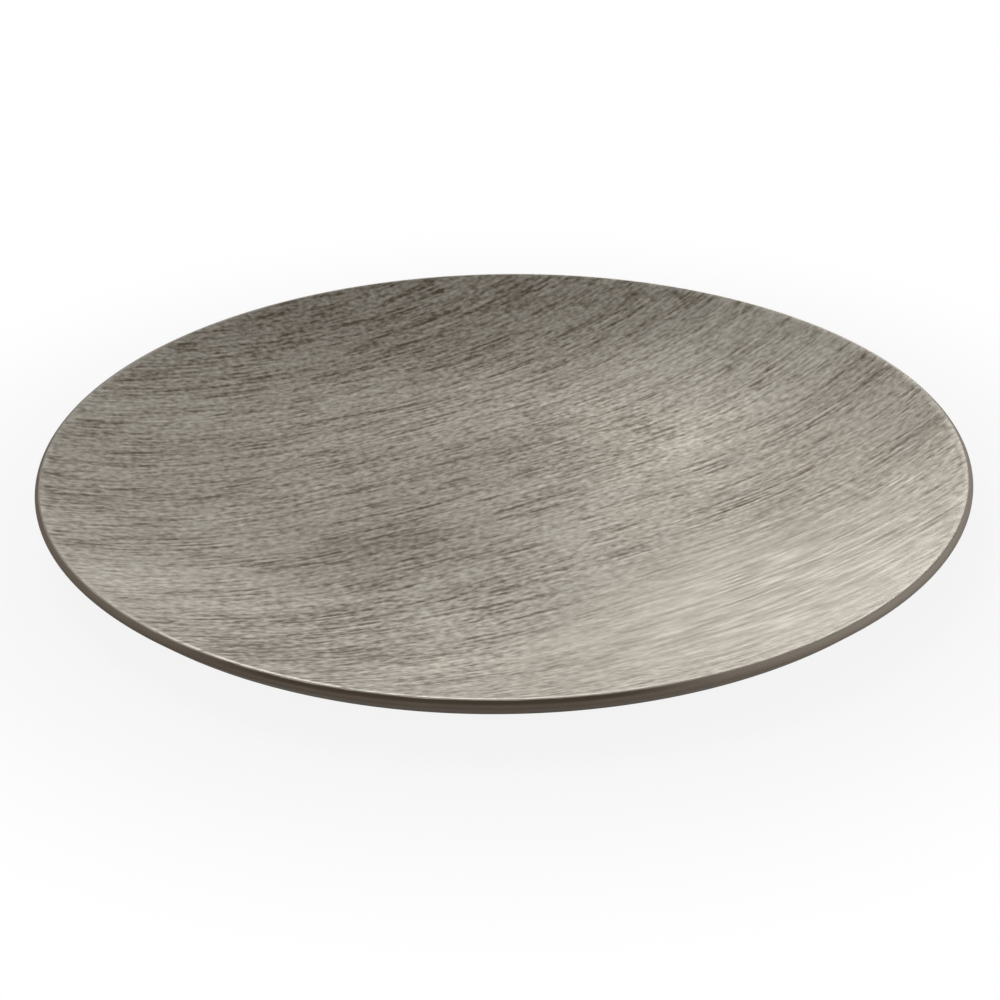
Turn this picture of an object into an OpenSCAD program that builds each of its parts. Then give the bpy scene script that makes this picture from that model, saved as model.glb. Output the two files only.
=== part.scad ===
// Charger plate: a shallow round dish moulded in one piece, with a brushed metallic coat
// bonded to its upper face and four rubber feet glued into pockets in its base ring.
// Sizes are in millimetres. The plate stands on the XY plane, with its axis on +Z.

/* [Dish] */
// Diameter over the rim
plate_d = 330; // [300:1:360]
// Depth of the dish, from the top of the rim down to the floor
dish_depth = 14.5; // [10:0.5:20]
// Diameter of the flat floor, where the curve of the wall begins
floor_d = 140; // [100:1:180]
// Thickness of the floor with its coat
floor_t = 4; // [3:0.1:5]

/* [Rim] */
// Radius of the rounded top of the rim
edge_r = 1.8; // [1.2:0.1:2.4]
// Lean of the bevel under the rim, away from upright, in degrees
bevel_lean = 48; // [30:1:55]
// Thickness of the wall at the inner end of the bevel, with its coat
rim_t = 6.4; // [5.5:0.1:9]
// Radius of the corner between the bevel and the underside
corner_r = 1.2; // [0.6:0.1:2]

/* [Coat] */
// Thickness of the brushed coat
coat_t = 0.4; // [0.2:0.05:0.8]

/* [Base ring] */
// Diameter of the base ring, along the middle of its land
ring_d = 200; // [170:1:230]
// Width of the base ring
ring_w = 5; // [3:0.5:8]
// Height of the base ring below the floor
ring_h = 2.5; // [2:0.1:4]

/* [Rubber feet] */
// Diameter of a foot
foot_d = 10; // [8:0.5:14]
// Thickness of a foot
foot_t = 2; // [1.6:0.1:3]
// Radius of a foot's lower edge
foot_round = 0.6; // [0.2:0.1:0.9]
// Depth of the pocket that holds a foot
pocket_depth = 1; // [0.5:0.1:1.4]
// Width of the glue line all round a foot in its pocket
pocket_gap = 0.1; // [0.05:0.05:0.3]
// Width of the wall round a pocket
pocket_wall = 2.4; // [1.6:0.1:4]

/* [Moulding gate] */
// Diameter of the dimple under the middle of the floor
gate_d = 16; // [10:1:30]
// Depth of the dimple
gate_depth = 0.8; // [0.4:0.1:1.2]
// Diameter of the stub that the gate leaves in the dimple
stub_d = 4; // [2:0.5:8]
// Height of the stub
stub_h = 0.5; // [0.2:0.1:0.8]

/* [Hidden] */
FEET = ["rubber_foot_back_right", "rubber_foot_back_left",
        "rubber_foot_front_left", "rubber_foot_front_right"];
$fn = 180;
// Straight steps in each rounded stretch of a cross-section
arc_steps = 16;
// Length by which a cutter passes a face that it breaks through
cut_past = 0.5;

// Heights, from the surface that the rubber feet stand on
ring_z = foot_t - pocket_depth;
under_z = ring_z + ring_h;
floor_z = under_z + floor_t;
rim_z = floor_z + dish_depth;

// Points of an arc round a centre, from one angle to another
function arc(centre, r, from, to) =
    [for (i = [0:arc_steps])
        let (a = from + (to - from) * i / arc_steps)
        centre + r * [cos(a), sin(a)]];

function reversed(points) = [for (i = [len(points) - 1:-1:0]) points[i]];

// Where the line through p along u meets the line through q along v
function meet(p, u, q, v) = p + u * cross(q - p, v) / cross(u, v);

// Radius of the curve that leaves the floor without a kink and touches a round end, with the end's
// centre measured from the start of the curve; end_r is below zero if the curve passes over the end
function curve_radius(end_at, end_r) = (end_at * end_at - end_r ^ 2) / (2 * (end_at.y - end_r));

// Slope of that curve where it touches the end
function curve_slope(end_at, end_r) = asin(end_at.x / (curve_radius(end_at, end_r) - end_r));

// Edge of the floor, and the centre of the rim's rounded top as [radius, height]
floor_r = floor_d / 2;
edge_at = [plate_d / 2 - edge_r, rim_z - edge_r];

// Curve of the face, its slope at the rim, and the directions up along it and square to it there
face_end = edge_at - [floor_r, floor_z];
face_r = curve_radius(face_end, -edge_r);
slope = curve_slope(face_end, -edge_r);
wall_up = [cos(slope), sin(slope)];
face_out = [-sin(slope), cos(slope)];

// Directions out of the bevel and down along it
bevel_out = [cos(bevel_lean), -sin(bevel_lean)];
bevel_down = [-sin(bevel_lean), -cos(bevel_lean)];

// Centre of the corner between the bevel and the underside, and the underside's curve up to there
corner_at = meet(edge_at + (edge_r - corner_r) * bevel_out, bevel_down,
                 edge_at + (edge_r + corner_r - rim_t) * face_out, wall_up);
under_end = corner_at - [floor_r, under_z];
under_r = curve_radius(under_end, corner_r);
under_slope = curve_slope(under_end, corner_r);

// The floor at a height, and the curve of radius r that rises from it out to a slope
function bowl_line(z, r, to_slope) =
    concat([[0, z]], arc([floor_r, z + r], r, -90, to_slope - 90));

// The floor and the wall at a depth below the face
function dish_line(depth) = bowl_line(floor_z - depth, face_r + depth, slope);

// The whole upper face out to the top of the rim, at a depth below it
function face_line(depth) =
    concat(dish_line(depth), arc(edge_at, edge_r - depth, 90 + slope, 90));

// Half of the moulding's cross-section, under the coat
module body_section() {
    polygon(concat(
        face_line(coat_t),
        arc(edge_at, edge_r, 90, -bevel_lean),
        arc(corner_at, corner_r, -bevel_lean, under_slope - 90),
        reversed(bowl_line(under_z, under_r, under_slope))));
}

// Half of the coat's cross-section, from the axis to the top of the rim
module coat_section() {
    polygon(concat(face_line(coat_t), reversed(face_line(0))));
}

// Half of the space between the base ring's land and the inside of the dish's wall
module ring_space_section() {
    inside = dish_line(floor_t / 2);
    wall_end = inside[len(inside) - 1];
    polygon(concat(inside, [[wall_end.x, ring_z], [0, ring_z]]));
}

// Puts its children at the place of one foot on the base ring
module at_foot(i) {
    step = 360 / len(FEET);
    rotate(step * (i + 0.5)) translate([ring_d / 2, 0, 0]) children();
}

module at_feet() {
    for (i = [0:len(FEET) - 1]) at_foot(i) children();
}

// Base ring with a round seat for each foot, reaching up into the dish's wall
module base_ring() {
    seat_d = foot_d + 2 * pocket_gap + 2 * pocket_wall;
    intersection() {
        rotate_extrude() ring_space_section();
        union() {
            difference() {
                cylinder(d = ring_d + ring_w, h = rim_z);
                translate([0, 0, -cut_past]) cylinder(d = ring_d - ring_w, h = rim_z + 2 * cut_past);
            }
            at_feet() cylinder(d = seat_d, h = rim_z);
        }
    }
}

// Cutter for the pocket that one foot is glued into
module foot_pocket() {
    translate([0, 0, ring_z - cut_past])
        cylinder(d = foot_d + 2 * pocket_gap, h = pocket_depth + cut_past);
}

// Cutter for the dimple under the middle of the floor, round the stub of the moulding gate
module gate_dimple() {
    difference() {
        translate([0, 0, under_z - cut_past]) cylinder(d = gate_d, h = gate_depth + cut_past);
        translate([0, 0, under_z + gate_depth - stub_h]) cylinder(d = stub_d, h = stub_h + cut_past);
    }
}

// The moulded dish with its bevelled rim and base ring
module plate_body() {
    color("#5b5348")
    difference() {
        union() {
            rotate_extrude() body_section();
            base_ring();
        }
        at_feet() foot_pocket();
        gate_dimple();
    }
}

// Metallic coat brushed over the whole upper face
module brushed_face() {
    color("#938c80") rotate_extrude() coat_section();
}

// Foot that fills its pocket and stands proud of the base ring
module rubber_foot(i) {
    foot_r = foot_d / 2;
    color("#302e2c")
    at_foot(i) rotate_extrude() polygon(concat(
        [[0, 0]],
        arc([foot_r - foot_round, foot_round], foot_round, -90, 0),
        [[foot_r, foot_t], [0, foot_t]]));
}

plate_body();
brushed_face();
for (i = [0:len(FEET) - 1])
    rubber_foot(i);
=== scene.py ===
# %% [markdown]
# # A brushed charger plate
#
# A charger plate is the broad plate that stays under the dinner plate through a meal. This one is a
# shallow moulded dish whose upper face is lacquered in a metallic taupe and brushed while the lacquer
# is still soft. The lesson builds it from three kinds of piece: the moulded dish, the brushed coat on
# top of it and four rubber feet. The frame already holds each of them as a plain solid at its real
# size, so every mesh here is laid where that solid is, in metres, with the plate standing on z = 0.

# %% Load the frame
import math

import bmesh
import bpy
import numpy as np
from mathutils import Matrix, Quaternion, Vector


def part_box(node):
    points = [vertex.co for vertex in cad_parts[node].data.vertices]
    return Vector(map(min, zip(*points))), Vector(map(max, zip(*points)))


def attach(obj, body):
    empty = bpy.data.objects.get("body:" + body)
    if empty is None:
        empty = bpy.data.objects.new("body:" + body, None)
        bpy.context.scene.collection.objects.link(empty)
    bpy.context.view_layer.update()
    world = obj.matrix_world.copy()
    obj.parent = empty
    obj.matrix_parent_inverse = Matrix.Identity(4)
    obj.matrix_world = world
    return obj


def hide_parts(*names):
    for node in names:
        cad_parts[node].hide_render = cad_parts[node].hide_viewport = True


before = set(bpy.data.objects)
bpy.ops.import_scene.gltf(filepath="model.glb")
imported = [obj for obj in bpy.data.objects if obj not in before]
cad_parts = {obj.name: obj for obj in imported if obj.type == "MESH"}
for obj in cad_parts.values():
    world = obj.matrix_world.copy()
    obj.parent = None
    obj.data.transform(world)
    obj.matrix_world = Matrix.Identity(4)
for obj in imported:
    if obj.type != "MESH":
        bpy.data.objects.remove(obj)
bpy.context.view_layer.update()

print("frame:", sorted(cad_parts))

# %% [markdown]
# ## Sizes
#
# The outer sizes come from the solids' boxes. The few sizes that a box can't tell are written where
# they are first needed, here the coat's thickness, the round top of the rim and the flat floor. The
# curve of the wall isn't a number of its own. It follows from the rule that the wall leaves the floor
# and meets the rim without a kink.

# %% Driving sizes of the dish
COAT_T = 0.0004
EDGE_R = 0.0018
FLOOR_R = 0.070

coat_low, coat_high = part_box("brushed_face")
CREST_R = coat_high.x
RIM_Z = coat_high.z
FLOOR_Z = coat_low.z + COAT_T


def wall_curve(run, rise, end_r):
    """Radius and last slope of a curve from the floor to a round end; end_r < 0 passes over the end."""
    radius = (run ** 2 + rise ** 2 - end_r ** 2) / (2 * (rise - end_r))
    return radius, math.asin(run / (radius - end_r))


FACE_R, SLOPE = wall_curve(CREST_R - FLOOR_R, RIM_Z - EDGE_R - FLOOR_Z, -EDGE_R)
print(f"rim {2 * CREST_R:.4f} m across its crest, dish {RIM_Z - FLOOR_Z:.4f} m deep, wall curved at "
      f"{FACE_R:.3f} m radius, {math.degrees(SLOPE):.1f} degrees steep at the rim")

# %% [markdown]
# ## The line of the upper face
#
# A plate is a solid of revolution, so one curve describes the whole upper face: its height at each
# distance from the axis. It could be drawn as a Bezier curve, but plain arcs are what the mould was
# turned from, and they give an exact height for any point that the brush passes over.


# %% Height of the upper face
def face_height(r):
    """Height of the upper face at distances r from the axis, as an array."""
    wall = FLOOR_Z + FACE_R - np.sqrt(FACE_R ** 2 - np.clip(r - FLOOR_R, 0, None) ** 2)
    crest = RIM_Z - EDGE_R + np.sqrt(EDGE_R ** 2 - np.clip(CREST_R - r, 0, EDGE_R) ** 2)
    return np.where(r < CREST_R - EDGE_R * math.sin(SLOPE), wall, crest)


print("height at floor, mid-wall and crest:", face_height(np.array([0, 0.13, CREST_R])).round(5))

# %% [markdown]
# ## Rows along the brush
#
# The brush was swung from the elbow, so its strokes are arcs round a point behind the plate and to
# its left. A grid of squares would need very small faces to hold strokes that cross it at an angle.
# Here each row of vertices runs along one arc from rim to rim instead, so faces can be narrow across
# the strokes and long along them. The points crowd a little towards the rim, where the crest is round.

# %% Lay the rows
ELBOW = Vector((-0.420, 0.740))
ROW_STEP = 0.0005
END_STEP = ROW_STEP / 10
END_GROWTH = 1.3
END_ROWS = 13
COLUMNS = 96
CROWDING = 1.35


def row_radii(first, last):
    """Radii of the arcs: even steps, but finer at both ends, where an arc only just crosses the rim."""
    ease = END_STEP * END_GROWTH ** np.arange(END_ROWS)
    start, end = first + ease[-1], last - ease[-1]
    even = np.linspace(start, end, round((end - start) / ROW_STEP))
    return np.concatenate([first + ease, even[1:-1], last - ease[::-1]])


reach = ELBOW.length
arc_r = row_radii(reach - CREST_R, reach + CREST_R)
half_angle = np.arccos((reach ** 2 + arc_r ** 2 - CREST_R ** 2) / (2 * reach * arc_r))
along_row = np.sin(np.linspace(-CROWDING, CROWDING, COLUMNS + 1)) / math.sin(CROWDING)
swing = half_angle[:, None] * along_row[None, :]
towards_plate = math.atan2(-ELBOW.y, -ELBOW.x)
grid_x = ELBOW.x + arc_r[:, None] * np.cos(towards_plate + swing)
grid_y = ELBOW.y + arc_r[:, None] * np.sin(towards_plate + swing)
grid_s = arc_r[:, None] * swing
print(f"{len(arc_r)} rows of {COLUMNS + 1} points, arcs of {arc_r[0]:.3f} to {arc_r[-1]:.3f} m radius")

# %% [markdown]
# ## Brush strokes
#
# A stiff brush leaves shallow grooves where its bristles press and low ridges between them. One dab
# leaves a bundle of a few parallel grooves that start and end nearly together. Most dabs are light,
# and a few are firm. Bump in a material could show them, but they are real relief here, so that they
# catch light from every side and belong to the mesh. Each groove is a smooth valley that
# fades out at both ends, and a fixed seed keeps the pattern the same each time.

# %% Press one groove into the rows
relief = np.zeros_like(grid_s)


def press(radius, middle, length, width, depth):
    """Adds one groove to the relief: an arc of this radius, with its middle and length along it."""
    first, last = np.searchsorted(arc_r, [radius - 2 * width, radius + 2 * width])
    across = (arc_r[first:last, None] - radius) / width
    along = np.clip(np.abs(grid_s[first:last] - middle) / (length / 2), 0, 1)
    relief[first:last] -= depth * (1 - across ** 2) * np.exp(-across ** 2) * (1 - along ** 2)


# %% Press all the dabs
DABS = 3400
SHORTEST_DAB = 0.008
LONGEST_DAB = 0.048
LIGHT_FORCE = 0.3
FIRM_FORCE = 2.4
FIRM_RARITY = 8
MOST_BRISTLES = 5
BRISTLE_WIDTHS = (0.0005, 0.0011)
BRISTLE_SPACING = (2.0, 3.5)
BRISTLE_LENGTHS = (0.5, 1.1)
BRISTLE_PRESS = (0.4, 1.0)
END_SCATTER = 0.15
GROOVE_DEPTH = 0.00008
DEEPEST = 0.00012
RIM_FADE = 0.002

rng = np.random.default_rng(7)
grooves = 0
for dab in range(DABS):
    radius = rng.uniform(arc_r[0], arc_r[-1])
    middle = rng.uniform(-CREST_R, CREST_R)
    length = SHORTEST_DAB * (LONGEST_DAB / SHORTEST_DAB) ** rng.random()
    force = LIGHT_FORCE + FIRM_FORCE * rng.random() ** FIRM_RARITY
    for bristle in range(rng.integers(1, MOST_BRISTLES + 1)):
        width = rng.uniform(*BRISTLE_WIDTHS)
        groove_middle = middle + rng.normal(0, END_SCATTER) * length
        groove_length = length * rng.uniform(*BRISTLE_LENGTHS)
        depth = GROOVE_DEPTH * force * rng.uniform(*BRISTLE_PRESS)
        press(radius, groove_middle, groove_length, width, depth)
        radius += width * rng.uniform(*BRISTLE_SPACING)
        grooves += 1
relief = DEEPEST * np.tanh(relief / DEEPEST)
relief *= np.clip((CREST_R - np.hypot(grid_x, grid_y)) / RIM_FADE, 0, 1)
print(f"{grooves} grooves, relief from {relief.min() * 1e6:.0f} to {relief.max() * 1e6:.0f} micrometres")

# %% [markdown]
# ## The brushed coat
#
# The coat is a thin skin with a thickness of its own. The rows above make its upper side, the same
# rows lowered by the coat's thickness make its lower side, and a narrow band closes it along the rim.
# A mesh could also be thickened with a modifier, but then the grooves would repeat underneath.

# %% Mesh helpers
SHARP_ANGLE = math.radians(35)


def make_piece(name, vertices, faces):
    """A smooth-shaded mesh object, with edges left sharp where faces meet at more than an angle."""
    mesh = bpy.data.meshes.new(name)
    mesh.from_pydata(vertices, [], faces)
    shell = bmesh.new()
    shell.from_mesh(mesh)
    bmesh.ops.recalc_face_normals(shell, faces=shell.faces)
    shell.to_mesh(mesh)
    shell.free()
    mesh.shade_smooth()
    mesh.set_sharp_from_angle(angle=SHARP_ANGLE)
    piece = bpy.data.objects.new(name, mesh)
    bpy.context.scene.collection.objects.link(piece)
    return piece


def grid_faces(index):
    """Quads between neighbouring rows of point numbers."""
    return np.stack([index[:-1, :-1], index[1:, :-1], index[1:, 1:], index[:-1, 1:]], -1).reshape(-1, 4)


# %% Build the coat
def brushed_coat():
    """The coat as a closed skin: brushed above, smooth below."""
    height = face_height(np.hypot(grid_x, grid_y))
    upper = np.stack([grid_x, grid_y, height + relief], -1).reshape(-1, 3)
    lower = np.stack([grid_x, grid_y, height - COAT_T], -1).reshape(-1, 3)
    above = np.arange(grid_s.size).reshape(grid_s.shape)
    below = above + grid_s.size
    border = np.concatenate([above[0, :-1], above[:-1, -1], above[-1, :0:-1], above[:0:-1, 0]])
    after = np.roll(border, -1)
    side = np.stack([border, after, after + grid_s.size, border + grid_s.size], -1)
    faces = np.concatenate([grid_faces(above), grid_faces(below)[:, ::-1], side])
    return make_piece("brushed_coat", np.concatenate([upper, lower]).tolist(), faces.tolist())


coat = brushed_coat()
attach(coat, "root")
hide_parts("brushed_face")
print("coat:", len(coat.data.polygons), "faces")

# %% [markdown]
# ## Remembering the strokes
#
# The lacquer should be darker wherever a groove was pressed. A material could guess that from the
# shape, but the depth of each point is known here, so it is kept on the mesh as an attribute that the
# material reads later.

# %% Keep the depth of each point
press_depth = coat.data.attributes.new("press_depth", "FLOAT", "POINT")
press_depth.data.foreach_set("value", np.tile(relief.ravel() / GROOVE_DEPTH, 2).astype(np.float32))
print("depths kept for", len(press_depth.data), "points")

# %% [markdown]
# ## The moulded dish
#
# Under the coat is the moulding itself: floor, wall, bevelled rim and the ring it stands on. It is
# turned from one closed line, like clay on a wheel. Blender has a Screw modifier for that. A short
# function does the same here, because the two ends of the line lie on the axis and should close to
# single points. The corners that a mould would leave soft are drawn as small arcs.

# %% Lines made of arcs
FLOOR_T = 0.004
BEVEL_LEAN = math.radians(48)
RIM_T = 0.0064
CORNER_R = 0.0012


def arc(centre, radius, start, end, steps):
    """Points (r, z) of an arc round a centre, between two angles in degrees."""
    angles = np.radians(np.linspace(start, end, steps + 1))
    return [(centre[0] + radius * math.cos(a), centre[1] + radius * math.sin(a)) for a in angles]


def crossing(p, along_p, q, along_q):
    """Where the line through p meets the line through q, each with its direction."""
    gap_x, gap_y = q[0] - p[0], q[1] - p[1]
    turn = along_p[0] * along_q[1] - along_p[1] * along_q[0]
    step = (gap_x * along_q[1] - gap_y * along_q[0]) / turn
    return p[0] + step * along_p[0], p[1] + step * along_p[1]


edge_at = (CREST_R, RIM_Z - EDGE_R)
bevel_out = (math.cos(BEVEL_LEAN), -math.sin(BEVEL_LEAN))
bevel_down = (-math.sin(BEVEL_LEAN), -math.cos(BEVEL_LEAN))
face_out = (-math.sin(SLOPE), math.cos(SLOPE))
wall_up = (math.cos(SLOPE), math.sin(SLOPE))
on_bevel = [e + (EDGE_R - CORNER_R) * d for e, d in zip(edge_at, bevel_out)]
on_wall = [e + (EDGE_R + CORNER_R - RIM_T) * d for e, d in zip(edge_at, face_out)]
corner_at = crossing(on_bevel, bevel_down, on_wall, wall_up)
UNDER_Z = FLOOR_Z - FLOOR_T
UNDER_R, UNDER_SLOPE = wall_curve(corner_at[0] - FLOOR_R, corner_at[1] - UNDER_Z, CORNER_R)
print(f"underside curved at {UNDER_R:.3f} m radius, {math.degrees(UNDER_SLOPE):.1f} degrees at the bevel")

# %% The moulding's line, from the axis over the rim to the axis below
RING_R = 0.100
RING_W = 0.005
RING_ROUND = 0.0006
GATE_R = 0.008
GATE_DEPTH = 0.0008
STUB_R = 0.002
STUB_H = 0.0005
SOFT_R = 0.0002

body_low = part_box("plate_body")[0]
RING_Z = body_low.z


def under_height(r):
    """Height of the underside at distance r from the axis."""
    return UNDER_Z + UNDER_R - math.sqrt(UNDER_R ** 2 - max(r - FLOOR_R, 0) ** 2)


def dish_line():
    """Closed half-section of the moulding as points (r, z)."""
    inside = np.append(np.linspace(0, FLOOR_R, 4), np.linspace(FLOOR_R, CREST_R - EDGE_R, 40)[1:])
    line = [(r, z - COAT_T) for r, z in zip(inside, face_height(inside))]
    line += [(CREST_R, RIM_Z - COAT_T)]
    line += arc(edge_at, EDGE_R, 90, -math.degrees(BEVEL_LEAN), 24)
    line += arc(corner_at, CORNER_R, -math.degrees(BEVEL_LEAN), math.degrees(UNDER_SLOPE) - 90, 8)
    ring_out, ring_in = RING_R + RING_W / 2, RING_R - RING_W / 2
    line += [(r, under_height(r)) for r in np.linspace(line[-1][0], ring_out + RING_ROUND, 16)[1:]]
    top_out, top_in = under_height(ring_out) - RING_ROUND, under_height(ring_in) - RING_ROUND
    line += arc((ring_out + RING_ROUND, top_out), RING_ROUND, 90, 180, 6)[1:]
    line += arc((ring_out - RING_ROUND, RING_Z + RING_ROUND), RING_ROUND, 0, -90, 6)
    line += arc((ring_in + RING_ROUND, RING_Z + RING_ROUND), RING_ROUND, -90, -180, 6)
    line += arc((ring_in - RING_ROUND, top_in), RING_ROUND, 0, 90, 6)
    line += [(r, under_height(r)) for r in np.linspace(ring_in - RING_ROUND, FLOOR_R, 8)[1:]]
    gate_top = UNDER_Z + GATE_DEPTH
    line += arc((GATE_R + SOFT_R, UNDER_Z + SOFT_R), SOFT_R, -90, -180, 4)
    line += [(GATE_R, gate_top), (STUB_R, gate_top)]
    line += arc((STUB_R - SOFT_R, gate_top - STUB_H + SOFT_R), SOFT_R, 0, -90, 4)
    return line + [(0, gate_top - STUB_H)]


print("line of", len(dish_line()), "points, standing at", round(RING_Z, 4), "m")


# %% Turn the line
def spun(line, segments):
    """Spins a line of points (r, z) round the axis: vertices, quads and the point numbers of each ring."""
    rings = np.array(line)
    angles = np.arange(segments) * 2 * math.pi / segments
    across = rings[:, :1] * np.cos(angles), rings[:, :1] * np.sin(angles)
    height = np.repeat(rings[:, 1:], segments, axis=1)
    vertices = np.stack([*across, height], -1).reshape(-1, 3).tolist()
    index = np.arange(len(vertices)).reshape(-1, segments)
    return vertices, grid_faces(np.hstack([index, index[:, :1]])).tolist(), index


def fan(tip, ring):
    """Triangles from a point on the axis to a ring of point numbers."""
    return [(tip, int(a), int(b)) for a, b in zip(ring, np.roll(ring, -1))]


def turned(name, line, segments):
    """Turns a line of points (r, z), with both ends on the axis, into a closed solid."""
    vertices, faces, index = spun(line[1:-1], segments)
    top, bottom = len(vertices), len(vertices) + 1
    vertices += [(0, 0, line[0][1]), (0, 0, line[-1][1])]
    return make_piece(name, vertices, faces + fan(top, index[0]) + fan(bottom, index[-1][::-1]))


dish = turned("moulded_dish", dish_line(), 360)
print("dish:", len(dish.data.polygons), "faces, box", [round(v, 4) for v in dish.dimensions])

# %% [markdown]
# ## Seats for the feet
#
# The base ring widens into a round boss at each foot, and each boss has a shallow pocket that the
# foot is glued into. The bosses and pockets aren't round the plate's own axis, so they can't be part
# of the turned line. A Boolean joins the one and cuts the other, and it is applied at once, so that
# the finished mesh is a single clean skin.


# %% Helpers for the seats
def puck(name, radius, low, high, soft):
    """A short turned block with a softened lower edge."""
    line = [(0, high), (radius, high), *arc((radius - soft, low + soft), soft, 0, -90, 6), (0, low)]
    return turned(name, line, 96)


def boolean(target, tool, operation):
    """Joins or cuts a mesh with a tool, keeps the result as plain mesh and removes the tool."""
    change = target.modifiers.new(operation, "BOOLEAN")
    change.operation = operation
    change.solver = "EXACT"
    change.object = tool
    done = bpy.data.meshes.new_from_object(target.evaluated_get(bpy.context.evaluated_depsgraph_get()))
    target.modifiers.clear()
    target.data = done
    bpy.data.objects.remove(tool)


def foot_place(node):
    """Radius of a foot, and the place of its axis, from its solid's box."""
    low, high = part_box(node)
    return (high.x - low.x) / 2, Vector(((low.x + high.x) / 2, (low.y + high.y) / 2, 0))


# %% Join the seats and cut the pockets
FOOT_NODES = sorted(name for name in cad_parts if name.startswith("rubber_foot"))
POCKET_GAP = 0.0001
POCKET_WALL = 0.0024
POCKET_DEPTH = 0.001
SEAT_ROOT = 0.003
CUT_PAST = 0.0005

for node in FOOT_NODES:
    foot_r, middle = foot_place(node)
    pocket_r = foot_r + POCKET_GAP
    seat = puck("seat", pocket_r + POCKET_WALL, RING_Z, UNDER_Z + SEAT_ROOT, RING_ROUND)
    pocket = puck("pocket", pocket_r, RING_Z - CUT_PAST, RING_Z + POCKET_DEPTH, SOFT_R)
    seat.location = pocket.location = middle
    bpy.context.view_layer.update()
    boolean(dish, seat, "UNION")
    boolean(dish, pocket, "DIFFERENCE")
dish.data.set_sharp_from_angle(angle=SHARP_ANGLE)
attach(dish, "root")
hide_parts("plate_body")
print("dish with seats:", len(dish.data.polygons), "faces")

# %% [markdown]
# ## Rubber feet
#
# Each foot is a small button of dark rubber. It is turned like the dish, with a soft lower edge, and
# stands where its solid stands in the frame, so the four only differ in place.

# %% Turn the feet
FOOT_ROUND = 0.0006

feet = []
for node in FOOT_NODES:
    low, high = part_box(node)
    foot_r, middle = foot_place(node)
    foot = puck(node.replace("rubber_", "") + "_button", foot_r, low.z, high.z, FOOT_ROUND)
    foot.location = middle
    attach(foot, "root")
    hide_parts(node)
    feet.append(foot)
print("feet:", [foot.name for foot in feet])

# %% [markdown]
# ## Shader arithmetic
#
# A material is a graph of small nodes, and long formulas are hard to read as a graph. The class below
# wraps one output of a node. Adding or multiplying such wires adds Math nodes, so a mask can be
# written as an expression. Any other node comes from its `node` method: the settings are made first,
# because some of them change which sockets a node has.


# %% The wire class
class Wire:
    """An output in a node tree. Arithmetic on wires adds Math nodes to that tree."""

    def __init__(self, tree, socket=None):
        self.tree = tree
        self.socket = socket

    def node(self, kind, settings=None, inputs=None, output=0):
        """Adds a node, makes its settings, and gives each input its value or its link."""
        made = self.tree.nodes.new(kind)
        for name, value in (settings or {}).items():
            setattr(made, name, value)
        for name, value in (inputs or {}).items():
            if isinstance(value, Wire):
                self.tree.links.new(value.socket, made.inputs[name])
            else:
                made.inputs[name].default_value = value
        return Wire(self.tree, made.outputs[output] if made.outputs else None)

    def other(self, output):
        """Another output of the same node."""
        return Wire(self.tree, self.socket.node.outputs[output])

    def math(self, operation, *values):
        return self.node("ShaderNodeMath", {"operation": operation}, dict(enumerate(values)))

    def __add__(self, other):
        return self.math("ADD", self, other)

    def __radd__(self, other):
        return self.math("ADD", other, self)

    def __sub__(self, other):
        return self.math("SUBTRACT", self, other)

    def __rsub__(self, other):
        return self.math("SUBTRACT", other, self)

    def __mul__(self, other):
        return self.math("MULTIPLY", self, other)

    def __rmul__(self, other):
        return self.math("MULTIPLY", other, self)

    def __truediv__(self, other):
        return self.math("DIVIDE", self, other)

    def __pow__(self, other):
        return self.math("POWER", self, other)

    def ease(self, start, end):
        """A soft step from 0 at start to 1 at end."""
        return self.node("ShaderNodeMapRange", {"interpolation_type": "SMOOTHSTEP"},
                         {"Value": self, "From Min": start, "From Max": end})

    def mix(self, low, high):
        """A colour between two others, with this wire as the share of the second."""
        return self.node("ShaderNodeMix", {"data_type": "RGBA"}, {0: self, 6: low, 7: high}, output=2)


# %% Start and close a finish
def new_finish(name):
    """An empty material, and the wire of each place on the object that wears it."""
    material = bpy.data.materials.new(name)
    material.use_nodes = True
    material.node_tree.nodes.clear()
    return material, Wire(material.node_tree).node("ShaderNodeTexCoord", output="Object")


def close_finish(material, shader):
    """Links the shader to the material's output and says how many nodes the finish took."""
    shader.node("ShaderNodeOutputMaterial", inputs={"Surface": shader})
    print(f"{material.name}: {len(material.node_tree.nodes)} nodes")
    return material


def tone(red, green, blue):
    """A colour as an eye-dropper reads it, 0 to 255, turned into the linear values that nodes use."""
    shares = [c / 255 for c in (red, green, blue)]
    return tuple(c / 12.92 if c <= 0.04045 else ((c + 0.055) / 1.055) ** 2.4 for c in shares) + (1.0,)


def speckle(place, scale, detail):
    """Even noise from 0 to 1."""
    return place.node("ShaderNodeTexNoise", inputs={"Vector": place, "Scale": scale, "Detail": detail})


def bumped(height, strength, distance):
    """The surface's normal, tilted by a height from 0 to 1 that stands for a distance in metres."""
    inputs = {"Strength": strength, "Distance": distance, "Height": height}
    return height.node("ShaderNodeBump", inputs=inputs)


print("taupe in linear values:", [round(c, 3) for c in tone(147, 140, 129)])

# %% [markdown]
# ## Streaks along the brush
#
# The lacquer is a metallic taupe. Where bristles have scraped it thin it is darker, and where they
# have pushed it up it is paler, always along the same arcs as the relief. It could be painted on an
# unwrapped sheet. Here the pattern is worked out from two distances instead, along the arc and across
# it, so it needs no unwrapping: noise that is stretched along the arc gives streaks, and an oval laid
# along it gives a patch.


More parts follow.
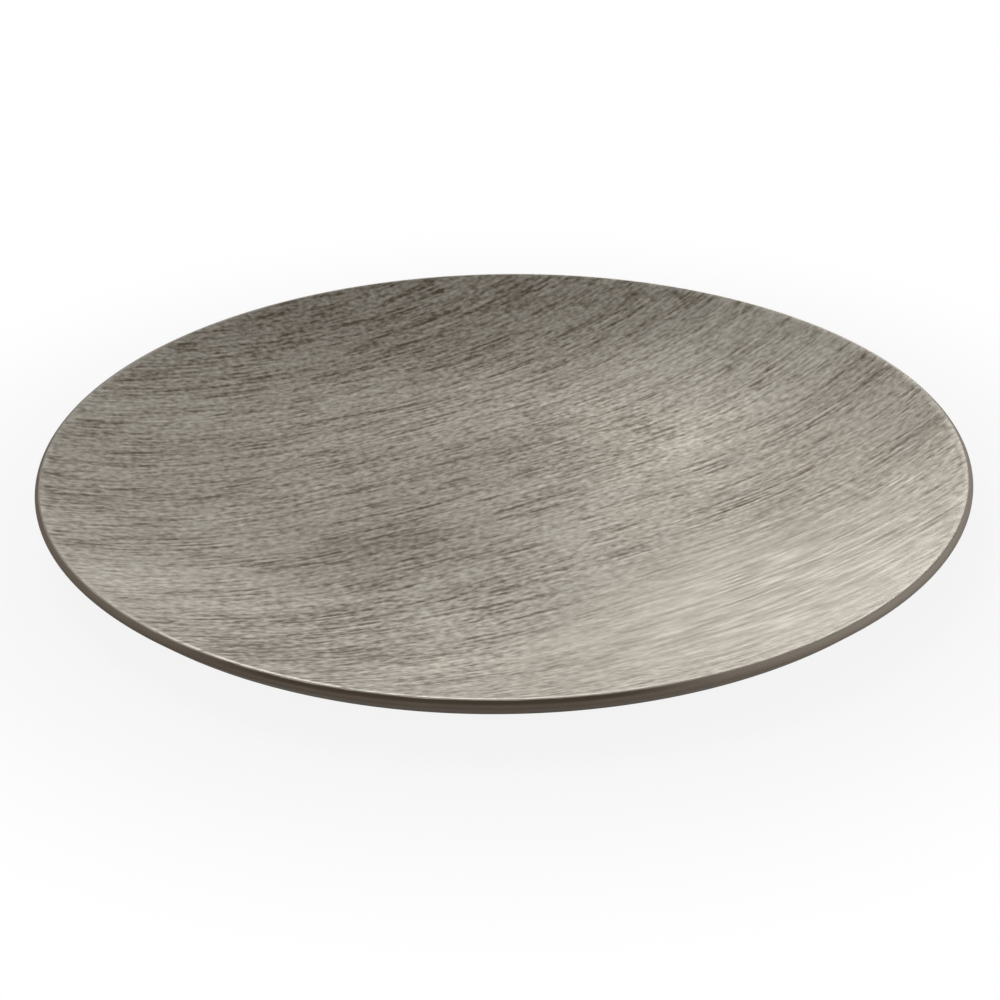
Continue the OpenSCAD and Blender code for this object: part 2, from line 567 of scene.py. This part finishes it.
# %% Streaks and patches
def brush_spot(place):
    """Two wires for a place on the coat: its distance along the brush arc, and that arc's radius."""
    arm = place.node("ShaderNodeVectorMath", {"operation": "SUBTRACT"}, {0: place, 1: (ELBOW.x, ELBOW.y, 0)})
    x = arm.node("ShaderNodeSeparateXYZ", inputs={0: arm})
    y = x.other("Y")
    return y.math("ARCTAN2", y, x) * reach, (x ** 2 + y ** 2) ** 0.5


def streaks(spot, width, length, seed, detail=1.0):
    """Noise from 0 to 1 in streaks of a width across the brush and a length along it."""
    along, across = spot
    stretched = along.node("ShaderNodeCombineXYZ", inputs={0: along / length, 1: across / width, 2: seed})
    return speckle(stretched, 1.0, detail)


def patch(spot, middle_x, middle_y, half_length, half_width):
    """An oval along the brush, 1 in its middle and fading to 0 at its edge."""
    along, across = spot
    arm = Vector((middle_x, middle_y)) - ELBOW
    off_along = (along - math.atan2(arm.y, arm.x) * reach) / half_length
    off_across = (across - arm.length) / half_width
    return 1 - (off_along ** 2 + off_across ** 2).ease(0, 1)


def patches(spot, rows):
    """Sum of several ovals, each with its own lift."""
    return sum(lift * patch(spot, *place_and_size) for *place_and_size, lift in rows)


# %% [markdown]
# ## Shade of the lacquer
#
# Short flecks, fine and coarse streaks and wide bands together look like a real brush. Dark lines lie
# over them, where the relief is pressed and where single bristles have scratched. A few wide and gentle
# ovals make the lacquer lighter or darker, partly as uneven lacquer and partly as painted light and
# shade, and others make its strokes calmer at the front right and livelier at the front left. Noise
# could place them too, but then they would lie anywhere.

# %% Mix the shade
# Width across the brush, length along it and seed
FLECKS = (0.0017, 0.0030, 3.0)
FINE_STREAKS = (0.0024, 0.0140, 1.0)
COARSE_STREAKS = (0.0042, 0.0400, 5.0)
BANDS = (0.0220, 0.1500, 9.0)
SCRATCHES = (0.0033, 0.0280, 7.0)
HAIRLINES = (0.0023, 0.0120, 11.0)
# Middle x and y, half length along the brush, half width across it and lift
# Tone ovals: partly uneven lacquer, partly painted light and shade, such as the darker back left and the
# paler back right
TONE_AND_SHADE_PATCHES = [
    (0.095, 0.105, 0.090, 0.055, 0.22),
    (0.020, -0.068, 0.090, 0.055, 0.13),
    (0.005, -0.018, 0.060, 0.028, 0.08),
    (-0.095, -0.075, 0.080, 0.045, 0.12),
    (-0.115, 0.060, 0.060, 0.035, 0.06),
    (0.015, 0.040, 0.100, 0.050, -0.10),
    (-0.040, 0.140, 0.085, 0.040, -0.13),
    (0.100, -0.005, 0.085, 0.050, -0.11),
    (-0.042, -0.050, 0.055, 0.028, -0.12),
]
CONTRAST_PATCHES = [
    (0.085, -0.085, 0.100, 0.065, -0.82),
    (0.105, 0.010, 0.090, 0.060, -0.25),
    (-0.040, -0.105, 0.110, 0.060, 0.30),
]
MIDDLE_SHADE = 0.55
MIDDLE_CONTRAST = 1.05


def lacquer_shade(spot, fine):
    """Share of the pale tone in the lacquer, 0 to 1, with painted light and shade from the ovals."""
    flecks, coarse, bands = (streaks(spot, *size) for size in (FLECKS, COARSE_STREAKS, BANDS))
    streaked = (flecks - 0.5) * 1.2 + (fine - 0.5) * 0.4 + (coarse - 0.5) * 0.2 + (bands - 0.5) * 0.3
    pressed = fine.node("ShaderNodeAttribute", {"attribute_name": "press_depth"}, output="Fac")
    scratches = streaks(spot, *SCRATCHES, detail=0.0).ease(0.60, 0.68)
    hairlines = streaks(spot, *HAIRLINES, detail=0.0).ease(0.60, 0.70)
    dark_lines = pressed * 0.22 - scratches * 0.18 - hairlines * 0.18
    contrast = MIDDLE_CONTRAST + patches(spot, CONTRAST_PATCHES)
    # The tone ovals add painted light and shade as well as uneven lacquer
    return (streaked + dark_lines) * contrast + patches(spot, TONE_AND_SHADE_PATCHES) + MIDDLE_SHADE


# %% [markdown]
# ## The brushed lacquer
#
# The crest of the rim is paler and smoother, in dashes where the strokes stand highest: partly wear
# from hands and cloths all round, partly a painted highlight, most at the front left. Gloss on brushed
# metal spreads across its strokes. The shader's anisotropy does that, and it takes the direction of
# the strokes from the mesh's texture space, so that space is centred on the elbow that the brush was
# swung from.

# %% Finish of the coat
# Radius band of the pale crest, a little wear all round, and one oval of painted highlight at the front left
CREST_WEAR_AND_HIGHLIGHT = (CREST_R - 0.0020, CREST_R - 0.0008)
WEAR_ALL_ROUND = 0.12
WEAR_AND_HIGHLIGHT_PATCHES = [(-0.055, -0.155, 0.120, 0.080, 0.88)]


def crest_wear_and_highlight(place, spot, fine):
    """Share of the lacquer made paler along the crest: some wear, and a painted highlight at the front left.
    """
    flat = place.node("ShaderNodeVectorMath", {"operation": "MULTIPLY"}, {0: place, 1: (1, 1, 0)})
    radius = flat.node("ShaderNodeVectorMath", {"operation": "LENGTH"}, {0: flat}, output="Value")
    # Painted highlight: the crest is made paler most at the front left, over a little wear all round
    rubbed_and_lit = WEAR_ALL_ROUND + patches(spot, WEAR_AND_HIGHLIGHT_PATCHES)
    return radius.ease(*CREST_WEAR_AND_HIGHLIGHT) * fine.ease(0.25, 0.55) * rubbed_and_lit


def brushed_lacquer():
    """Metallic taupe lacquer, streaked along the brush arcs, with wear and a painted highlight on the crest.
    """
    material, place = new_finish("brushed_taupe_lacquer")
    spot = brush_spot(place)
    fine = streaks(spot, *FINE_STREAKS)
    wear_and_highlight = crest_wear_and_highlight(place, spot, fine)
    lacquer = lacquer_shade(spot, fine).mix(tone(91, 79, 62), tone(191, 185, 173))
    # tone(196, 190, 180) is the pale crest, partly wear and partly painted highlight
    shader = place.node("ShaderNodeBsdfPrincipled", inputs={
        "Base Color": wear_and_highlight.mix(lacquer, tone(196, 190, 180)), "Metallic": 0.75,
        "Roughness": 0.42 + (fine - 0.5) * 0.3 - wear_and_highlight * 0.18, "Anisotropic": 0.6,
        "Anisotropic Rotation": 0.25, "Normal": bumped(fine, 1.0, 0.00006)})
    return close_finish(material, shader)


coat.data.materials.append(brushed_lacquer())
coat.data.use_auto_texspace = False
coat.data.texspace_location = (ELBOW.x, ELBOW.y, 0)
coat.data.texspace_size = (0.5, 0.5, 0.5)

# %% [markdown]
# ## The moulding's own finish
#
# Below the crest the dish shows its own skin, a satin dark taupe. It isn't brushed and has only the
# faint mottle of a sprayed mould. The lacquer of the upper face is carried a little over the crest.
# Under it, in the middle of the front, a dark line of painted shade is laid, and the edge is painted
# paler towards the right, and a little at the left, as painted side light. A second material could
# hold each of these. Masks made from height and from left to right keep them in one, so that they
# can fade into each other.

# %% Satin moulding
CARRIED_LACQUER = (RIM_Z - 0.00014, RIM_Z - 0.00004)
CARRIED_RAGGED = 0.0002
# Height band, middle and fade of the painted shade line under the crest
SHADE_LINE_BAND = (RIM_Z - 0.0016, RIM_Z - 0.0006)
SHADE_LINE_MIDDLE = -0.02
SHADE_LINE_FADE = (0.045, 0.095)
EDGE_BAND = (RIM_Z - 0.0095, RIM_Z - 0.0075)
CREST_BAND = (RIM_Z - 0.0030, RIM_Z - 0.0005)
# Reach of the painted side light towards the right and towards the left
PAINTED_LIGHT_RIGHT = (0.01, 0.15)
PAINTED_LIGHT_LEFT = (-0.08, -0.15)


def satin_moulding():
    """Dark taupe with a faint mottle, lacquer carried over the crest, painted shade and side light."""
    material, place = new_finish("satin_taupe_moulding")
    rightward = place.node("ShaderNodeSeparateXYZ", inputs={0: place})
    height = rightward.other("Z")
    mottle = speckle(place, 90.0, 3.0)
    grain = speckle(place, 1400.0, 2.0)
    carried = (height + (mottle - 0.5) * CARRIED_RAGGED).ease(*CARRIED_LACQUER)
    off_middle = rightward.math("ABSOLUTE", rightward - SHADE_LINE_MIDDLE)
    # Painted shade: a dark line just under the crest, in the middle of the front, fading to the sides
    shade_line = height.ease(*SHADE_LINE_BAND) * (1 - off_middle.ease(*SHADE_LINE_FADE))
    # Painted side light: the edge paler towards the right, most near the crest, and a little at the left
    painted_light_right = rightward.ease(*PAINTED_LIGHT_RIGHT) * (0.38 + 0.22 * height.ease(*CREST_BAND))
    painted_side_light = (painted_light_right + rightward.ease(*PAINTED_LIGHT_LEFT) * 0.08) * height.ease(*EDGE_BAND)
    taupe = (mottle * 0.7 + grain * 0.3).mix(tone(97, 87, 76), tone(111, 100, 88))
    # tone(72, 63, 53) is the painted shade line, tone(170, 162, 150) the painted side light
    edge = shade_line.mix(painted_side_light.mix(taupe, tone(170, 162, 150)), tone(72, 63, 53))
    shader = place.node("ShaderNodeBsdfPrincipled", inputs={
        "Base Color": carried.mix(edge, tone(160, 153, 142)), "Metallic": carried * 0.75,
        "Roughness": 0.55 + mottle * 0.12 - carried * 0.20, "Specular IOR Level": 0.03,
        "Normal": bumped(grain, 0.6, 0.00002)})
    return close_finish(material, shader)


dish.data.materials.clear()
dish.data.materials.append(satin_moulding())

# %% [markdown]
# ## Rubber
#
# Rubber scatters nearly all of its light, so it is rough and dark, with a fine grain from its mould
# and a little grey dust that the table has left on it. One flat colour would do for feet that hardly
# show, but two noises cost little and hold up when the plate is turned over.


# %% Foot rubber
def dark_rubber():
    """Matt dark rubber with a fine grain and a trace of dust."""
    material, place = new_finish("dark_foot_rubber")
    grain = speckle(place, 2200.0, 3.0)
    dust = speckle(place, 260.0, 4.0)
    shader = place.node("ShaderNodeBsdfPrincipled", inputs={
        "Base Color": dust.ease(0.45, 0.8).mix(tone(46, 44, 42), tone(78, 75, 71)),
        "Roughness": 0.75 + grain * 0.15, "Normal": bumped(grain, 0.7, 0.00004)})
    return close_finish(material, shader)


rubber = dark_rubber()
for foot in feet:
    foot.data.materials.append(rubber)

# %% [markdown]
# ## The studio
#
# The plate stands on a white floor that sweeps up into a wall all round, as in a photographer's cove,
# so it has the same plain ground from every side. The floor could be lit until it is white, but that
# would bleach the plate too. Instead the camera and the reflections see it as a plain glowing white,
# and near the plate a share of matt paint in it keeps the shadow.

# %% Finish of the cove
SHADOWED_WHITE = 0.88
SHADOW_REACH = (0.16, 0.28)


def cove_white():
    """Pale matt floor that the camera and reflections see as white, except for the shadow."""
    material, place = new_finish("cove_white")
    distance = place.node("ShaderNodeVectorMath", {"operation": "LENGTH"}, {0: place}, output="Value")
    path = place.node("ShaderNodeLightPath", output="Is Camera Ray")
    mirrored = path.math("MAXIMUM", path.other("Is Glossy Ray"), path.other("Is Transmission Ray"))
    seen = path.math("MAXIMUM", path, mirrored)
    share = SHADOWED_WHITE + (1 - SHADOWED_WHITE) * distance.ease(*SHADOW_REACH)
    matt = place.node("ShaderNodeBsdfDiffuse", inputs={"Color": tone(192, 192, 192)})
    white = place.node("ShaderNodeEmission", inputs={"Color": (1, 1, 1, 1), "Strength": 1.0})
    mixed = place.node("ShaderNodeMixShader", inputs={0: seen * share, 1: matt, 2: white})
    return close_finish(material, mixed)


# %% Build the cove
FLOOR_RINGS = (0.2, 0.6, 1.2)
COVE_R = 3.0
COVE_SWEEP = 0.6
COVE_TOP = 0.9


def cove():
    """Floor, sweep and wall, turned round the plate's axis."""
    line = [(r, 0) for r in FLOOR_RINGS]
    line += arc((COVE_R, COVE_SWEEP), COVE_SWEEP, -90, 0, 16)
    line += [(COVE_R + COVE_SWEEP, COVE_TOP)]
    vertices, faces, index = spun(line, 96)
    return make_piece("cove", vertices + [(0, 0, 0)], faces + fan(len(vertices), index[0]))


floor = cove()
floor.data.materials.append(cove_white())
print("cove:", len(floor.data.polygons), "faces,", COVE_R + COVE_SWEEP, "m from the axis to its wall")

# %% [markdown]
# ## Lamps
#
# Brushed lacquer mirrors a wide band of whatever stands opposite the viewer, so a plate that is to look
# right from all sides needs light all round. One large soft box hangs overhead, and a ring of weaker
# ones stands low round the plate. The camera sees those at the back mirrored: they make the front of
# the face pale and leave its back darker. The air adds a little even light. A single strong lamp would
# be simpler, but it would bleach the face in the view opposite to it.

# %% Soft boxes
# Name, azimuth and elevation in degrees, distance and size in metres, power in watts
SOFTBOXES = [
    ("overhead", 270, 75, 1.5, 0.8, 7.0),
    ("right", 85, 18, 1.5, 0.6, 3.2),
    ("front_right", 135, 20, 1.5, 0.6, 4.0),
    ("front_left", 195, 25, 1.5, 0.6, 4.0),
    ("left", 270, 18, 1.5, 0.6, 2.5),
    ("back", 0, 18, 1.5, 0.6, 1.5),
    ("back_right", 15, 20, 0.8, 0.3, 0.8),
    ("back_left", 350, 30, 2.5, 1.2, 1.9),
]


def softbox(name, azimuth, elevation, distance, size, power):
    """A square area lamp that faces the middle of the plate. Azimuth 0 is behind the plate, 90 right."""
    a, e = math.radians(azimuth), math.radians(elevation)
    away = Vector((math.sin(a) * math.cos(e), math.cos(a) * math.cos(e), math.sin(e)))
    lamp = bpy.data.lights.new(name, "AREA")
    lamp.size = size
    lamp.energy = power
    holder = bpy.data.objects.new(name, lamp)
    holder.location = away * distance
    holder.rotation_euler = away.to_track_quat("Z", "Y").to_euler()
    holder.visible_camera = False
    bpy.context.scene.collection.objects.link(holder)


for box in SOFTBOXES:
    softbox(*box)
print(len(SOFTBOXES), "soft boxes,", round(sum(box[-1] for box in SOFTBOXES), 1), "watts in all")

# %% Air
AIR_LIGHT = 0.25

world = bpy.data.worlds.new("studio_air")
world.use_nodes = True
world.node_tree.nodes["Background"].inputs["Color"].default_value = (1, 1, 1, 1)
world.node_tree.nodes["Background"].inputs["Strength"].default_value = AIR_LIGHT
bpy.context.scene.world = world
print("air at", AIR_LIGHT)

# %% [markdown]
# ## Camera
#
# The plate is seen from its front, a little over a quarter of the way up to overhead. A long lens
# keeps the far rim nearly as wide as the near one. The lens is shifted to bring the plate to its place
# in the frame, which leaves its perspective alone, and the camera leans by less than a degree.

# %% Place the camera
LENS_MM = 101.1
AIM_BELOW_RIM = 0.006
CAMERA_DISTANCE = 1.0
CAMERA_RISE = math.radians(27.22)
CAMERA_ROLL = math.radians(0.8)
PIXELS = 1000
AIM_PIXEL = (503.7, 470.9)

back = Vector((0, -math.cos(CAMERA_RISE), math.sin(CAMERA_RISE)))
camera = bpy.data.objects.new("camera", bpy.data.cameras.new("camera"))
camera.location = Vector((0, 0, RIM_Z - AIM_BELOW_RIM)) + back * CAMERA_DISTANCE
camera.rotation_mode = "QUATERNION"
camera.rotation_quaternion = (-back).to_track_quat("-Z", "Y") @ Quaternion((0, 0, 1), -CAMERA_ROLL)
camera.data.lens = LENS_MM
camera.data.shift_x = 0.5 - AIM_PIXEL[0] / PIXELS
camera.data.shift_y = AIM_PIXEL[1] / PIXELS - 0.5
bpy.context.scene.collection.objects.link(camera)
bpy.context.scene.camera = camera
bpy.context.scene.view_settings.view_transform = "Standard"
print("camera at", [round(v, 3) for v in camera.location])
